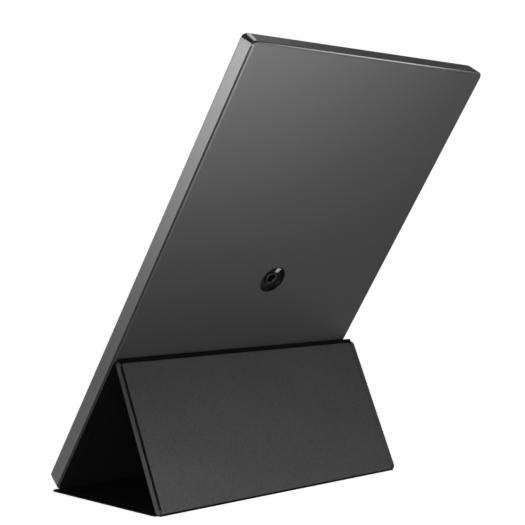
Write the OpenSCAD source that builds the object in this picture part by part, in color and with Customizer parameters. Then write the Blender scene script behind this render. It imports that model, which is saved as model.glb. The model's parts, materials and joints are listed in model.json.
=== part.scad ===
// Portable monitor standing in portrait on its own folded cover.
// Millimetres, +Z up, screen towards -Y, back towards +Y, long side up the slope.
// The origin is on the desk, under the middle of the whole object.

/* [Monitor body] */
// Length of the body, up the slope
body_long = 359.6; // [340:0.1:380]
// Width of the body
body_short = 226.4; // [218:0.1:240]
// Thickness of the body, from the screen side to the back
body_thick = 13.2; // [13:0.1:15]
// Corner radius of the body's outline
corner_r = 3.5; // [3.3:0.1:8]
// Width of the 45 degree chamfer around the back
back_chamfer = 1.5; // [1:0.1:1.8]
// Width of the small chamfer around the screen side
front_chamfer = 0.5; // [0.3:0.1:0.8]
// Straight edge of the back cover below its chamfer
back_lip = 0.4; // [0.3:0.1:0.8]
// Thickness of the back cover's plate
back_plate_t = 1; // [0.8:0.1:1.2]
// Width of the back cover's rim
back_rim = 1.6; // [1.5:0.1:2.5]
// Wall of the frame around the sides
frame_wall = 1.4; // [1.2:0.1:1.8]
// Lean of the body back from upright, in degrees
lean = 34.5; // [30:0.5:38]

/* [Screen] */
// Length of the picture area
screen_long = 344.2; // [330:0.1:344.4]
// Width of the picture area
screen_short = 193.6; // [186:0.1:194]
// Border between the picture area and the side away from the ports
slim_border = 8; // [7.6:0.1:9]
// Thickness of the front bezel
bezel_t = 1.2; // [1:0.1:1.4]
// Depth of the bezel's face below the frame's front edge
bezel_recess = 0.2; // [0.1:0.1:0.4]
// Width of the tape that holds the bezel to the glass
tape_w = 2; // [1:0.1:2.4]
// Thickness of that tape
tape_t = 0.2; // [0.1:0.05:0.3]
// Thickness of the display glass
glass_t = 1.1; // [0.9:0.1:1.3]
// How far the glass reaches past the picture area
glass_margin = 2.4; // [2:0.1:2.5]
// Further reach of the glass on the side that carries its flexes
glass_ledge = 3; // [2:0.1:4]
// Thickness of the optical films together
films_t = 0.5; // [0.3:0.1:0.6]
// Thickness of the light guide
guide_t = 1.2; // [1:0.1:1.4]
// Sheet thickness of the display module's tray
tray_t = 0.5; // [0.4:0.1:0.6]
// Width of the strip of LEDs beside the light guide
led_w = 1.4; // [1:0.1:1.8]
// Clearance between stacked display parts and the tray's rim
stack_gap = 0.2; // [0.1:0.05:0.3]
// Reach of the light guide and the films past the picture area
guide_margin = 1; // [0.6:0.1:1.2]
// Length of an LED along the strip
led_len = 3; // [2:0.1:4]
// Height of an LED
led_h = 0.7; // [0.5:0.05:0.9]
// Width of the source board behind the display
source_w = 10; // [8:0.5:12]
// Distance of the source board from the tray's edge
source_in = 3; // [2:0.5:5]
// Distance of the source board's ends from the body's ends
source_end = 60; // [50:1:80]
// Width of a flex between the glass and the source board
flex_w = 30; // [24:1:36]
// Thickness of those flexes
flex_t = 0.12; // [0.08:0.01:0.2]

/* [Inside] */
// Thickness of the chassis plate
chassis_t = 0.8; // [0.6:0.1:1]
// Clearance between the chassis plate and the frame's wall
chassis_gap = 0.2; // [0.1:0.1:0.4]
// Thickness of the circuit boards
board_t = 1; // [0.8:0.1:1.2]
// Space between the chassis plate and the circuit boards
standoff_h = 3.3; // [3.3:0.1:3.6]
// Outer radius of a standoff
standoff_r = 2.2; // [2:0.1:2.6]
// Length of the main board, along the body
main_long = 110; // [104:1:120]
// Width of the main board
main_short = 64; // [56:1:70]
// Distance of the main board's near end from the body's lower end
main_start = 58; // [52:1:62]
// Distance of the circuit boards from the frame's wall
board_edge = 2; // [1.8:0.1:2.6]
// Distance of the standoffs from the main board's edges
standoff_edge = 4; // [3.5:0.5:6]
// Distance of the standoff beside the ports from the main board's outer side
port_standoff = 14; // [13:1:18]
// Side of the scaler's shield can
shield_w = 30; // [24:1:34]
// Height of the shield can
shield_h = 2.2; // [1.8:0.1:2.8]
// Sheet thickness of the shield can
shield_t = 0.3; // [0.2:0.05:0.4]
// Distance of the shield can's middle from the main board's upper end
shield_offset = 26; // [24:1:28]
// Side of the scaler chip
chip_w = 14; // [10:1:18]
// Height of the scaler chip
chip_h = 1.2; // [0.8:0.1:1.6]
// Side of the coils on the main board
coil_w = 7; // [5:0.5:8]
// Height of the coils
coil_h = 2; // [1.5:0.1:2.6]
// Distance from one coil to the next
coil_pitch = 11; // [9:0.5:12]
// Distance of the coils from the main board's inner side
coil_in = 23; // [21:1:26]
// Side of the capacitors between the coils and the board's inner side
cap_w = 5; // [3:0.5:6]
// Overhang of the thermal pad around the chip
pad_margin = 4; // [2:0.5:6]
// Width of the display cable
cable_w = 16; // [12:1:18]
// Thickness of the flat cables
cable_t = 0.3; // [0.2:0.05:0.4]
// Distance of the display cable from the main board's upper end
cable_offset = 52; // [50:1:56]
// Distance of the display cable from the main board's inner side
cable_in = 47; // [40:1:48]
// Width of the display cable's connector
connector_w = 6; // [4:0.5:6]
// Free space between the display cable and the source board
cable_clear = 1.6; // [1.4:0.1:1.8]
// Width of the key cable
key_cable_w = 5; // [4:0.5:6]
// Lap of the key cable on the main board
key_cable_lap = 6; // [4:0.5:8]
// Height of the bosses that carry the chassis plate
boss_h = 2.5; // [2.2:0.1:3]
// Width of those bosses
boss_w = 7; // [6:0.5:9]
// Distance of a boss's screw from the frame's wall
boss_in = 1.3; // [1.2:0.1:1.6]
// Thickness of the magnets' steel strike strips
strike_t = 0.5; // [0.3:0.1:0.8]
// Width of those strips
strike_w = 16; // [12:1:20]
// Radius of the small screws' shanks
screw_r = 0.65; // [0.5:0.05:0.7]
// Radius of the small screws' heads
screw_head_r = 1.3; // [1.1:0.1:1.4]
// Height of the small screws' heads
screw_head_h = 0.5; // [0.4:0.1:0.8]
// Length of the small screws' shanks in the boss
screw_bite = 1.9; // [1.5:0.1:2.2]

/* [Ports] */
// Distance of the first USB-C port from the body's lower end
usb_start = 76; // [74:1:80]
// Distance from one port to the next
port_pitch = 18; // [16:1:19]
// Width of a USB-C shell
usb_w = 8.94; // [8.9:0.01:9]
// Height of a USB-C shell
usb_h = 3.26; // [3.2:0.01:3.3]
// Length of a USB-C shell
usb_len = 7.35; // [7:0.05:8]
// Width of the mini HDMI shell
hdmi_w = 11.2; // [11:0.1:11.4]
// Height of the mini HDMI shell
hdmi_h = 3.2; // [3.1:0.05:3.3]
// Length of the mini HDMI shell
hdmi_len = 8.2; // [7.5:0.1:9]
// Sheet thickness of the port shells
shell_t = 0.3; // [0.2:0.05:0.35]
// Depth of the ports' mouths below the side face
port_recess = 0.3; // [0.1:0.1:0.6]
// Clearance between a port's shell and its hole in the frame
port_gap = 0.15; // [0.1:0.05:0.3]

/* [Keys] */
// Distance of the first menu key from the body's lower end
key_start = 240; // [236:1:244]
// Distance from one menu key to the next
key_pitch = 14; // [13:1:16]
// Distance of the power key from the last menu key
power_offset = 22; // [18:1:24]
// Length of a key's cap
key_w = 9; // [8:0.1:10]
// Height of a key's cap
key_h = 2.2; // [2:0.1:2.2]
// How far a key stands out of the side face
key_proud = 0.5; // [0.4:0.1:0.8]
// Travel of a key
key_travel = 0.35; // [0.2:0.05:0.4]
// Clearance around a key in its hole
key_gap = 0.12; // [0.1:0.01:0.2]
// Width of the flange that keeps a key in, on each side
key_flange = 0.4; // [0.3:0.05:0.42]
// Thickness of that flange
key_flange_t = 0.7; // [0.6:0.1:0.8]
// Length of the stem behind the flange
key_stem = 1.8; // [1.4:0.1:2.2]
// Distance of the key board's lower end from the first menu key
key_board_end = 12; // [10:1:14]
// Width of the key board
key_board_w = 12; // [10:1:14]
// Length of a key's switch
switch_w = 6; // [5:0.5:7]
// Height of a key's switch
switch_h = 2.6; // [2.4:0.1:3]
// Radius of the power light's pipe
light_r = 0.8; // [0.6:0.05:1]
// Distance of the power light from the power key
light_offset = 12; // [10:1:14]

/* [Tripod socket] */
// Radius of the round recess in the back
socket_r = 10.8; // [9.5:0.1:12]
// Depth of the recess at its middle
socket_depth = 2.6; // [2.2:0.1:3]
// Radius of the quarter inch thread's bore
thread_r = 3.175; // [3.1:0.005:3.2]
// Outer radius of the insert's nose
insert_r = 5.2; // [4.8:0.1:5.6]
// How far the nose stands above the recess floor
insert_proud = 0.9; // [0.5:0.1:1.2]
// Radius of the insert's flange on the chassis plate
insert_flange_r = 9.6; // [9:0.1:10.4]
// Thickness of that flange
insert_flange_t = 1.2; // [1:0.1:1.5]
// Number of screws in the insert's flange
insert_screws = 3; // [3:1:4]
// Radial clearance between the recess cup and the back cover
cup_gap = 0.1; // [0.05:0.05:0.2]
// Thickness of the cup's floor and rim
cup_t = 0.8; // [0.7:0.1:1]

/* [Cover panels] */
// How far the cover reaches past the body on each side
cover_reach = 4.1; // [3:0.1:6]
// Sideways offset of the body from the cover's middle, away from the ports
body_shift = 2.9; // [0:0.1:3]
// Distance of the attached panel's free end from the body's lower end
attach_end = 3; // [1:0.5:10]
// Tilt of the rear leg from upright, in degrees
rear_tilt = 24.9; // [18:0.1:32]
// Length of the panel under the monitor
floor_len = 118; // [117:0.5:126]
// Distance of the top fold from the body's lower end
fold_height = 118; // [115:0.5:124]
// Thickness of the stiff board inside each panel
core_t = 1.4; // [1.2:0.1:2.4]
// Thickness of the outer skin, and of the lining
skin_t = 0.6; // [0.5:0.05:0.8]
// Width of the thin margin along a panel's sides
margin_w = 2.7; // [2:0.1:5]
// Width of the pressed groove inside that margin
groove_w = 1.8; // [1:0.1:2.5]
// Depth of the pressed groove
groove_d = 0.35; // [0.2:0.05:0.4]
// Width of the margin at a panel's free end
free_margin = 2.2; // [1.8:0.1:3]
// Distance of the outer raised face from a fold's axis
outer_start = 2.6; // [2.3:0.1:3]
// Distance of the lining's raised face from a fold's axis
inner_start = 3.2; // [3.1:0.1:4.4]
// Distance of the thin margins from a fold's axis
fold_gap = 1.4; // [1.3:0.05:1.9]
// Corner radius of the panels
panel_r = 3; // [2.5:0.5:5]
// Corner radius of the raised faces
pad_r = 2.5; // [1.5:0.5:4]
// Clearance between the attached panel and the monitor's back
cover_gap = 0.3; // [0.2:0.05:0.5]
// Clearance between the body's lower edge and the floor panel
rest_gap = 0.1; // [0.05:0.05:0.3]

/* [Cover magnets] */
// Radius of a magnet
magnet_r = 5; // [4:0.5:6]
// Distance of a row of magnets from the panel's end or fold
magnet_inset = 14; // [12:1:18]
// Distance between neighbouring magnets
magnet_pitch = 80; // [60:1:90]
// Number of magnets in a row
magnet_count = 3; // [2:1:3]
// Clearance around a magnet
magnet_gap = 0.1; // [0.05:0.05:0.2]

/* [Hidden] */
$fn = 64;
e = 0.01; // overshoot of cutting tools

// Depths below the back plane, towards the screen
seam_z = back_chamfer + back_lip;
bezel_z = body_thick - bezel_recess - bezel_t;
tape_z = bezel_z - tape_t;
glass_z = tape_z - glass_t;
films_z = glass_z - films_t;
guide_z = films_z - guide_t;
tray_z = guide_z - tray_t;
chassis_z = tray_z - chassis_t;
board_front_z = chassis_z - standoff_h;
board_z = board_front_z - board_t;
port_z = board_front_z + usb_h / 2;

// Places across the body: the ports are on the -X side
half_w = body_short / 2;
wall_in = half_w - frame_wall;
screen_x1 = half_w - slim_border;
screen_x0 = screen_x1 - screen_short;
screen_y0 = (body_long - screen_long) / 2;
glass_x0 = screen_x0 - glass_margin - glass_ledge;
glass_x1 = screen_x1 + glass_margin;
guide_x0 = screen_x0 - guide_margin;
guide_x1 = screen_x1 + guide_margin;
guide_y0 = screen_y0 - guide_margin;
tray_x0 = glass_x0 - stack_gap;
tray_x1 = glass_x1 + tray_t;
tray_y0 = screen_y0 - glass_margin - tray_t;
tray_y1 = body_long - tray_y0;
inner_r = corner_r - frame_wall;

// Main board and key board
board_x0 = -wall_in + board_edge;
main_x1 = board_x0 + main_short;
main_y1 = main_start + main_long;
source_x0 = tray_x0 + source_in;
source_y1 = body_long - source_end;
window_gap = 5 * stack_gap;
shield_x = board_x0 + main_short * 0.55;
shield_y = main_y1 - shield_offset;
cable_x = main_x1 - cable_in;
cable_y = main_y1 - cable_offset;
cable_z = tray_z - board_t - cable_clear;
key_y = [for (i = [0 : 2]) key_start + i * key_pitch]; // menu, up and down
power_y = key_y[2] + power_offset;
light_y = power_y + light_offset;
key_board_y0 = key_start - key_board_end;
key_board_y1 = light_y + key_board_end / 2;
key_in_x = -wall_in + key_gap + key_flange_t;
switch_x = key_in_x + key_stem + key_travel + 0.1;
key_cable_x = board_x0 + key_board_w / 2;

// Tripod socket
socket_y = body_long / 2;
cup_floor_z = socket_depth + cup_t;
nose_z = socket_depth - insert_proud;

// The two folds and the panels, in the plane across the body
panel_t = core_t + 2 * skin_t;
lift = panel_t + rest_gap - back_chamfer * sin(lean);
fold_off = cover_gap + panel_t / 2;
fold_y = fold_height * sin(lean) + fold_off * cos(lean);
fold_z = lift + fold_height * cos(lean) - fold_off * sin(lean);
foot_drop = fold_z - panel_t / 2;
foot_y = fold_y + foot_drop * tan(rear_tilt);
rear_len = foot_drop / cos(rear_tilt);
attach_len = fold_height - attach_end;
cover_w = body_short + 2 * cover_reach;
pad_w = cover_w - 2 * (margin_w + groove_w);

// The origin lies under the middle of the object
y_front = min(front_chamfer * sin(lean) - body_thick * cos(lean), foot_y - floor_len);
y_back = max((body_long - back_chamfer) * sin(lean), foot_y + panel_t / 2);
y_mid = (y_front + y_back) / 2;

dark = [0.16, 0.16, 0.17];
satin = [0.36, 0.36, 0.38];
leather = [0.2, 0.2, 0.21];
steel = [0.7, 0.7, 0.72];
green = [0.1, 0.3, 0.2];

// ---- placing ----

// Body frame: y runs up the slope, z from the back plane towards the screen
module on_body() {
    translate([body_shift, -y_mid, lift]) rotate([90 - lean, 0, 0]) children();
}

// Panel frames: y runs away from the fold, z towards the outside of the stand
module on_attach() {
    on_body() translate([-body_shift, fold_height, -fold_off]) mirror([0, 1, 0]) children();
}
module on_rear() {
    translate([0, fold_y - y_mid, fold_z]) rotate([rear_tilt - 90, 0, 0]) children();
}
module on_floor() {
    translate([0, foot_y - y_mid, panel_t / 2]) rotate([180, 0, 0]) children();
}

// ---- shapes ----

// Rounded outline, centred in x, from y0 to y1
module outline(w, y0, y1, r) {
    translate([-w / 2 + r, y0]) square([w - 2 * r, y1 - y0]);
    translate([-w / 2, y0 + r]) square([w, y1 - y0 - 2 * r]);
    for (x = [-w / 2 + r, w / 2 - r], y = [y0 + r, y1 - r]) translate([x, y]) circle(r);
}
module plate(w, y0, y1, r, z0, z1) {
    translate([0, 0, z0]) linear_extrude(z1 - z0) outline(w, y0, y1, r);
}
module block(x0, x1, y0, y1, z0, z1) {
    translate([x0, y0, z0]) cube([x1 - x0, y1 - y0, z1 - z0]);
}

// Plate with a 45 degree chamfer c around its z = 0 face and round corners
module chamfered(w, l, r, t, c) {
    translate([-w / 2 + r, 0, 0]) rotate([90, 0, 90]) linear_extrude(w - 2 * r)
        polygon([[0, t], [0, c], [c, 0], [l - c, 0], [l, c], [l, t]]);
    translate([0, l - r, 0]) rotate([90, 0, 0]) linear_extrude(l - 2 * r)
        polygon([[-w / 2, t], [-w / 2, c], [-w / 2 + c, 0], [w / 2 - c, 0], [w / 2, c], [w / 2, t]]);
    for (x = [-w / 2 + r, w / 2 - r], y = [r, l - r]) translate([x, y, 0])
        rotate_extrude() polygon([[0, 0], [r - c, 0], [r, c], [r, t], [0, t]]);
}

// Bar with round ends that points along x, as wide as w in y and as high as h in z
module slot_bar(w, h, len) {
    rotate([90, 0, 90]) linear_extrude(len) {
        square([w - h, h], center = true);
        for (y = [-1, 1]) translate([y * (w - h) / 2, 0]) circle(h / 2);
    }
}

// Small screw: its head's underside is at z = 0 and the shank runs to +z
module small_screw(bite) {
    difference() {
        union() {
            translate([0, 0, -screw_head_h]) cylinder(h = screw_head_h, r = screw_head_r);
            cylinder(h = bite, r = screw_r);
        }
        for (a = [0, 90]) rotate([0, 0, a])
            translate([0, 0, -screw_head_h])
                cube([1.4 * screw_head_r, 0.3, screw_head_h], center = true);
    }
}

// ---- monitor: shells ----

// Places of the bosses that carry the chassis plate: [x, y, turn]
side_bosses = [for (s = [0.12, 0.5, 0.88]) [wall_in - boss_in, s * body_long, 0]];
port_side_bosses = [for (s = [0.08, 0.56, 0.92]) [-wall_in + boss_in, s * body_long, 180]];
end_bosses = [for (s = [-0.3, 0.3]) [s * body_short, body_long - frame_wall - boss_in, 90]];
low_bosses = [for (s = [-0.3, 0.3]) [s * body_short, frame_wall + boss_in, 270]];
bosses = concat(side_bosses, port_side_bosses, end_bosses, low_bosses);

module port_holes() {
    for (i = [0, 1]) translate([-half_w - 1, usb_start + i * port_pitch, port_z])
        slot_bar(usb_w + 2 * port_gap, usb_h + 2 * port_gap, frame_wall + 2);
    translate([-half_w - 1, usb_start + 2 * port_pitch, board_front_z + hdmi_h / 2])
        hdmi_profile(port_gap, frame_wall + 2);
}
module key_holes() {
    for (y = concat(key_y, [power_y])) translate([-half_w - 1, y, port_z])
        slot_bar(key_w + 2 * key_gap, key_h + 2 * key_gap, frame_wall + 2);
    translate([-half_w - 1, light_y, port_z]) rotate([0, 90, 0])
        cylinder(h = frame_wall + 2, r = light_r);
}

module mid_frame() color(satin) on_body() {
    difference() {
        translate([0, 0, body_thick]) mirror([0, 0, 1])
            chamfered(body_short, body_long, corner_r, body_thick - seam_z, front_chamfer);
        plate(2 * wall_in, frame_wall, body_long - frame_wall, inner_r, 0, body_thick + e);
        port_holes();
        key_holes();
    }
    // Ledge behind the bezel
    difference() {
        plate(2 * wall_in + 0.2, frame_wall - 0.1, body_long - frame_wall + 0.1, inner_r,
              bezel_z - 0.8, bezel_z);
        plate(2 * (wall_in - 1.2), frame_wall + 1.2, body_long - frame_wall - 1.2, inner_r - 1.2,
              bezel_z - 1, bezel_z + 1);
    }
    // Bosses for the chassis plate
    for (b = bosses) translate([b[0], b[1], 0]) rotate([0, 0, b[2]]) difference() {
        block(-boss_in, boss_in + 0.1, -boss_w / 2, boss_w / 2, tray_z, tray_z + boss_h);
        translate([0, 0, tray_z - e]) cylinder(h = screw_bite + 0.2, r = screw_r);
    }
}

module rear_cover() color(dark) on_body() {
    difference() {
        chamfered(body_short, body_long, corner_r, seam_z, back_chamfer);
        plate(body_short - 2 * back_rim, back_rim, body_long - back_rim, corner_r - back_rim,
              back_plate_t, seam_z + e);
        translate([0, socket_y, -e]) cylinder(h = seam_z, r = socket_r);
    }
    // Tabs that locate the cover inside the frame
    for (y = [0.06, 0.5, 0.94]) for (s = [-1, 1]) {
        inner = s * (wall_in - 0.15);
        block(min(inner, inner - s), max(inner, inner - s), y * body_long - 4, y * body_long + 4,
              back_plate_t - 0.1, seam_z + 2);
    }
}

module front_bezel() color(dark) on_body() difference() {
    plate(2 * (wall_in - 0.15), frame_wall + 0.15, body_long - frame_wall - 0.15,
          inner_r - 0.15, bezel_z, bezel_z + bezel_t);
    block(screen_x0, screen_x1, screen_y0, body_long - screen_y0, bezel_z - 1, body_thick);
}

// ---- monitor: display ----

module bezel_tape() color("black") on_body() difference() {
    block(screen_x0 - tape_w, screen_x1 + tape_w, screen_y0 - tape_w,
          body_long - screen_y0 + tape_w, tape_z, bezel_z);
    block(screen_x0, screen_x1, screen_y0, body_long - screen_y0, tape_z - 1, bezel_z + 1);
}
module lcd_glass() color([0.05, 0.05, 0.06]) on_body()
    block(glass_x0, glass_x1, screen_y0 - glass_margin, body_long - screen_y0 + glass_margin,
          glass_z, tape_z);
module optical_films() color("white") on_body()
    block(guide_x0, guide_x1, guide_y0, body_long - guide_y0, films_z, glass_z);
module light_guide() color([0.9, 0.95, 1]) on_body()
    block(guide_x0, guide_x1, guide_y0, body_long - guide_y0, guide_z, films_z);
module led_strip() color("gold") on_body() {
    led_x = guide_x0 - stack_gap - led_w;
    strip_t = led_w / 4;
    leds = 36;
    block(led_x, led_x + strip_t, screen_y0, body_long - screen_y0, guide_z, guide_z + led_h);
    for (i = [0 : leds - 1]) {
        y = screen_y0 + screen_long * (i + 0.5) / leds;
        block(led_x + strip_t, led_x + led_w, y - led_len / 2, y + led_len / 2,
              guide_z, guide_z + led_h);
    }
}
module panel_tray() color(steel) on_body() difference() {
    block(tray_x0, tray_x1, tray_y0, tray_y1, tray_z, glass_z);
    block(guide_x0 - 2 * stack_gap - led_w, guide_x1 + stack_gap,
          guide_y0 - stack_gap, body_long - guide_y0 + stack_gap, guide_z, glass_z + 1);
}
module source_board() color(green) on_body() {
    block(source_x0, source_x0 + source_w, source_end, source_y1, tray_z - board_t, tray_z);
    for (s = [0.25, 0.5, 0.75]) {
        y = source_end + s * (source_y1 - source_end);
        block(source_x0 + 0.2 * source_w, source_x0 + 0.8 * source_w,
              y - source_w / 2, y + source_w / 2, tray_z - 2 * board_t, tray_z - board_t);
    }
}
// Flexes from the glass's ledge, around the tray's edge, to the source board
module panel_flexes() color("orange") on_body() {
    for (s = [0.15, 0.5, 0.85]) {
        y0 = source_end + s * (source_y1 - source_end) - flex_w / 2;
        block(tray_x0 - flex_t, tray_x0, y0, y0 + flex_w, tray_z - flex_t, tape_z);
        block(tray_x0, source_x0, y0, y0 + flex_w, tray_z - flex_t, tray_z);
        block(tray_x0, glass_x0, y0, y0 + flex_w, glass_z, tape_z);
    }
}

// ---- monitor: chassis and electronics ----

// Main board's corners that rest on standoffs
standoffs = [[board_x0 + port_standoff, main_start + standoff_edge],
             [main_x1 - standoff_edge, main_start + standoff_edge],
             [board_x0 + standoff_edge, main_y1 - standoff_edge],
             [main_x1 - standoff_edge, main_y1 - standoff_edge]];
key_standoffs = [[board_x0 + key_board_w - standoff_edge, key_board_y0 + standoff_edge],
                 [board_x0 + key_board_w - standoff_edge, power_y - power_offset / 2]];

module chassis_plate() color([0.55, 0.56, 0.57]) on_body() difference() {
    union() {
        plate(2 * (wall_in - chassis_gap), frame_wall + chassis_gap,
              body_long - frame_wall - chassis_gap, inner_r - chassis_gap, chassis_z, tray_z);
        for (p = concat(standoffs, key_standoffs)) translate([p[0], p[1], board_front_z])
            cylinder(h = standoff_h, r = standoff_r);
    }
    block(tray_x0 - window_gap, source_x0 + source_w + window_gap, source_end - window_gap,
          source_y1 + window_gap, chassis_z - 1, tray_z + 1);
    for (p = concat(standoffs, key_standoffs)) translate([p[0], p[1], board_front_z - 1])
        cylinder(h = screw_bite + 1.2, r = screw_r);
    for (b = bosses) translate([b[0], b[1], chassis_z - 1]) cylinder(h = chassis_t + 2, r = screw_r);
    for (i = [0 : insert_screws - 1]) insert_screw_place(i)
        translate([0, 0, -chassis_t - 1]) cylinder(h = chassis_t + 2, r = screw_r);
}
module main_board() color(green) on_body() difference() {
    block(board_x0, main_x1, main_start, main_y1, board_z, board_front_z);
    for (p = standoffs) translate([p[0], p[1], board_z - 1]) cylinder(h = board_t + 2, r = screw_r);
}
module scaler_shield() color(steel) on_body() difference() {
    block(shield_x - shield_w / 2, shield_x + shield_w / 2, shield_y - shield_w / 2,
          shield_y + shield_w / 2, board_front_z, board_front_z + shield_h);
    inner = shield_w / 2 - shield_t;
    block(shield_x - inner, shield_x + inner, shield_y - inner, shield_y + inner,
          board_front_z - 1, board_front_z + shield_h - shield_t);
}
// Scaler chip, regulators, coils and connectors on the main board
module board_parts() color([0.15, 0.15, 0.15]) on_body() {
    block(shield_x - chip_w / 2, shield_x + chip_w / 2, shield_y - chip_w / 2,
          shield_y + chip_w / 2, board_front_z, board_front_z + chip_h);
    for (i = [0 : 3]) {
        y = main_start + (i + 1.2) * coil_pitch;
        cap_x = main_x1 - coil_in / 2 - cap_w / 2;
        block(main_x1 - coil_in - coil_w, main_x1 - coil_in, y, y + coil_w,
              board_front_z, board_front_z + coil_h);
        block(cap_x, cap_x + cap_w, y, y + cap_w, board_front_z, board_front_z + coil_h / 2);
    }
    block(cable_x - connector_w / 2, cable_x + connector_w / 2,
          cable_y - 0.6 * cable_w, cable_y + 0.6 * cable_w,
          board_front_z, board_front_z + chip_h);
}
module thermal_pad() color([0.5, 0.6, 0.75]) on_body() {
    reach = chip_w / 2 + pad_margin;
    block(shield_x - reach, shield_x + reach, shield_y - reach, shield_y + reach,
          back_plate_t, board_z);
}
// Flat cable from the main board up to the source board
module display_cable() color("beige") on_body() {
    source_x = source_x0 + source_w / 2;
    block(cable_x - cable_t / 2, cable_x + cable_t / 2, cable_y - cable_w / 2,
          cable_y + cable_w / 2, board_front_z + chip_h, cable_z);
    block(min(cable_x, source_x) - cable_t / 2, max(cable_x, source_x) + cable_t / 2,
          cable_y - cable_w / 2, cable_y + cable_w / 2, cable_z, cable_z + cable_t);
}

module usb_place(i) on_body()
    translate([-half_w + port_recess, usb_start + i * port_pitch, port_z]) children();
module usb_c_shells() color(steel) for (i = [0, 1]) usb_place(i) difference() {
    slot_bar(usb_w, usb_h, usb_len);
    translate([-e, 0, 0]) slot_bar(usb_w - 2 * shell_t, usb_h - 2 * shell_t, usb_len - 1 + e);
}
module usb_c_tongues() color("black") for (i = [0, 1]) usb_place(i)
    translate([1, -usb_w / 2 + 1.2, -0.35]) cube([usb_len - 2, usb_w - 2.4, 0.7]);
// Mini HDMI outline: a rectangle whose lower corners are cut, grown by g
module hdmi_profile(g, len) {
    w = hdmi_w / 2 + g;
    h = hdmi_h / 2 + g;
    rotate([90, 0, 90]) linear_extrude(len)
        polygon([[-w, h], [-w, -h / 3], [-w + 1.4, -h], [w - 1.4, -h], [w, -h / 3], [w, h]]);
}
module hdmi_place() on_body() translate([-half_w + port_recess, usb_start + 2 * port_pitch,
                                         board_front_z + hdmi_h / 2]) children();
module hdmi_shell() color(steel) hdmi_place() difference() {
    hdmi_profile(0, hdmi_len);
    translate([-e, 0, 0]) hdmi_profile(-shell_t, hdmi_len - 1 + e);
}
module hdmi_tongue() color("black") hdmi_place()
    translate([1, -hdmi_w / 2 + 1.9, 0.1]) cube([hdmi_len - 2, hdmi_w - 3.8, 0.7]);

module key_board() color(green) on_body() difference() {
    block(board_x0, board_x0 + key_board_w, key_board_y0, key_board_y1, board_z, board_front_z);
    for (p = key_standoffs) translate([p[0], p[1], board_z - 1])
        cylinder(h = board_t + 2, r = screw_r);
}
// Side-pushed switches: a body on the board and a plunger towards the key
module key_switches() color("silver") on_body() for (y = concat(key_y, [power_y])) {
    block(switch_x + switch_w / 8, switch_x + 0.65 * switch_w, y - switch_w / 2,
          y + switch_w / 2, board_front_z, board_front_z + switch_h);
    block(switch_x, switch_x + switch_w / 8, y - switch_w / 6, y + switch_w / 6,
          port_z - switch_h / 4, port_z + switch_h / 4);
}
// Flat cable from the key board down to the main board
module key_cable() color("beige") on_body()
    block(key_cable_x, key_cable_x + key_cable_w, main_y1 - key_cable_lap,
          key_board_y0 + key_cable_lap / 3, board_z - cable_t, board_z);
module power_light() color("white") on_body()
    translate([-half_w, light_y, port_z]) rotate([0, 90, 0]) {
        cylinder(h = frame_wall + board_edge + board_t, r = light_r - 0.05);
        translate([0, 0, frame_wall + 0.1]) cylinder(h = board_edge, r = 1.5 * light_r);
    }

// Screws: through the boards into the standoffs, and through the chassis into the frame
module board_screws() color(steel) on_body() for (p = concat(standoffs, key_standoffs))
    translate([p[0], p[1], board_z]) small_screw(board_t + screw_bite);
module chassis_screws() color(steel) on_body() for (b = bosses)
    translate([b[0], b[1], chassis_z]) small_screw(chassis_t + screw_bite);
module strike_strips() color(steel) on_body() translate([-body_shift, 0, 0])
    for (y = [fold_height - magnet_inset, fold_height - attach_len + magnet_inset])
        plate((magnet_count - 1) * magnet_pitch + 3 * magnet_r, y - strike_w / 2, y + strike_w / 2, 2,
              back_plate_t, back_plate_t + strike_t);

// ---- monitor: tripod socket ----

module insert_screw_place(i) translate([0, socket_y, chassis_z]) rotate([0, 0, 360 / insert_screws * i])
    translate([0, insert_flange_r - 2.1, 0]) children();

// Threaded insert: a flange screwed to the chassis plate and a nose in the recess
module tripod_insert() color(steel) on_body() difference() {
    translate([0, socket_y, 0]) rotate_extrude() polygon([
        [thread_r, nose_z + 0.5], [thread_r + 0.5, nose_z], [insert_r - 0.4, nose_z],
        [insert_r, nose_z + 0.4], [insert_r, chassis_z - insert_flange_t],
        [insert_flange_r, chassis_z - insert_flange_t], [insert_flange_r, chassis_z],
        [thread_r, chassis_z]]);
    for (i = [0 : insert_screws - 1]) insert_screw_place(i)
        translate([0, 0, -insert_flange_t - 1]) cylinder(h = insert_flange_t + 2, r = screw_r);
}
module insert_fasteners() color(steel) on_body() for (i = [0 : insert_screws - 1])
    insert_screw_place(i) translate([0, 0, -insert_flange_t])
        small_screw(insert_flange_t + chassis_t);

// Dished cup that lines the recess; it clips behind the back plate
module socket_cup() color([0.05, 0.05, 0.05]) on_body() translate([0, socket_y, 0])
    rotate_extrude() {
        rim = socket_r - cup_gap;
        bowl = rim - cup_t;
        floor_r = insert_r + 0.15;
        steps = 8;
        dish = [for (i = [0 : steps]) let (a = 90 * i / steps)
            [floor_r + 1.5 + (bowl - floor_r - 1.5) * sin(a),
             0.25 + (socket_depth - 0.25) * cos(a)]];
        polygon(concat([[floor_r, socket_depth]], dish,
            [[bowl, 0], [rim, 0], [rim, back_plate_t], [rim + 1, back_plate_t],
             [rim + 1, back_plate_t + 0.6], [rim, cup_floor_z - 0.6],
             [rim - 0.6, cup_floor_z], [floor_r, cup_floor_z]]));
    }

// ---- keys ----

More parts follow.
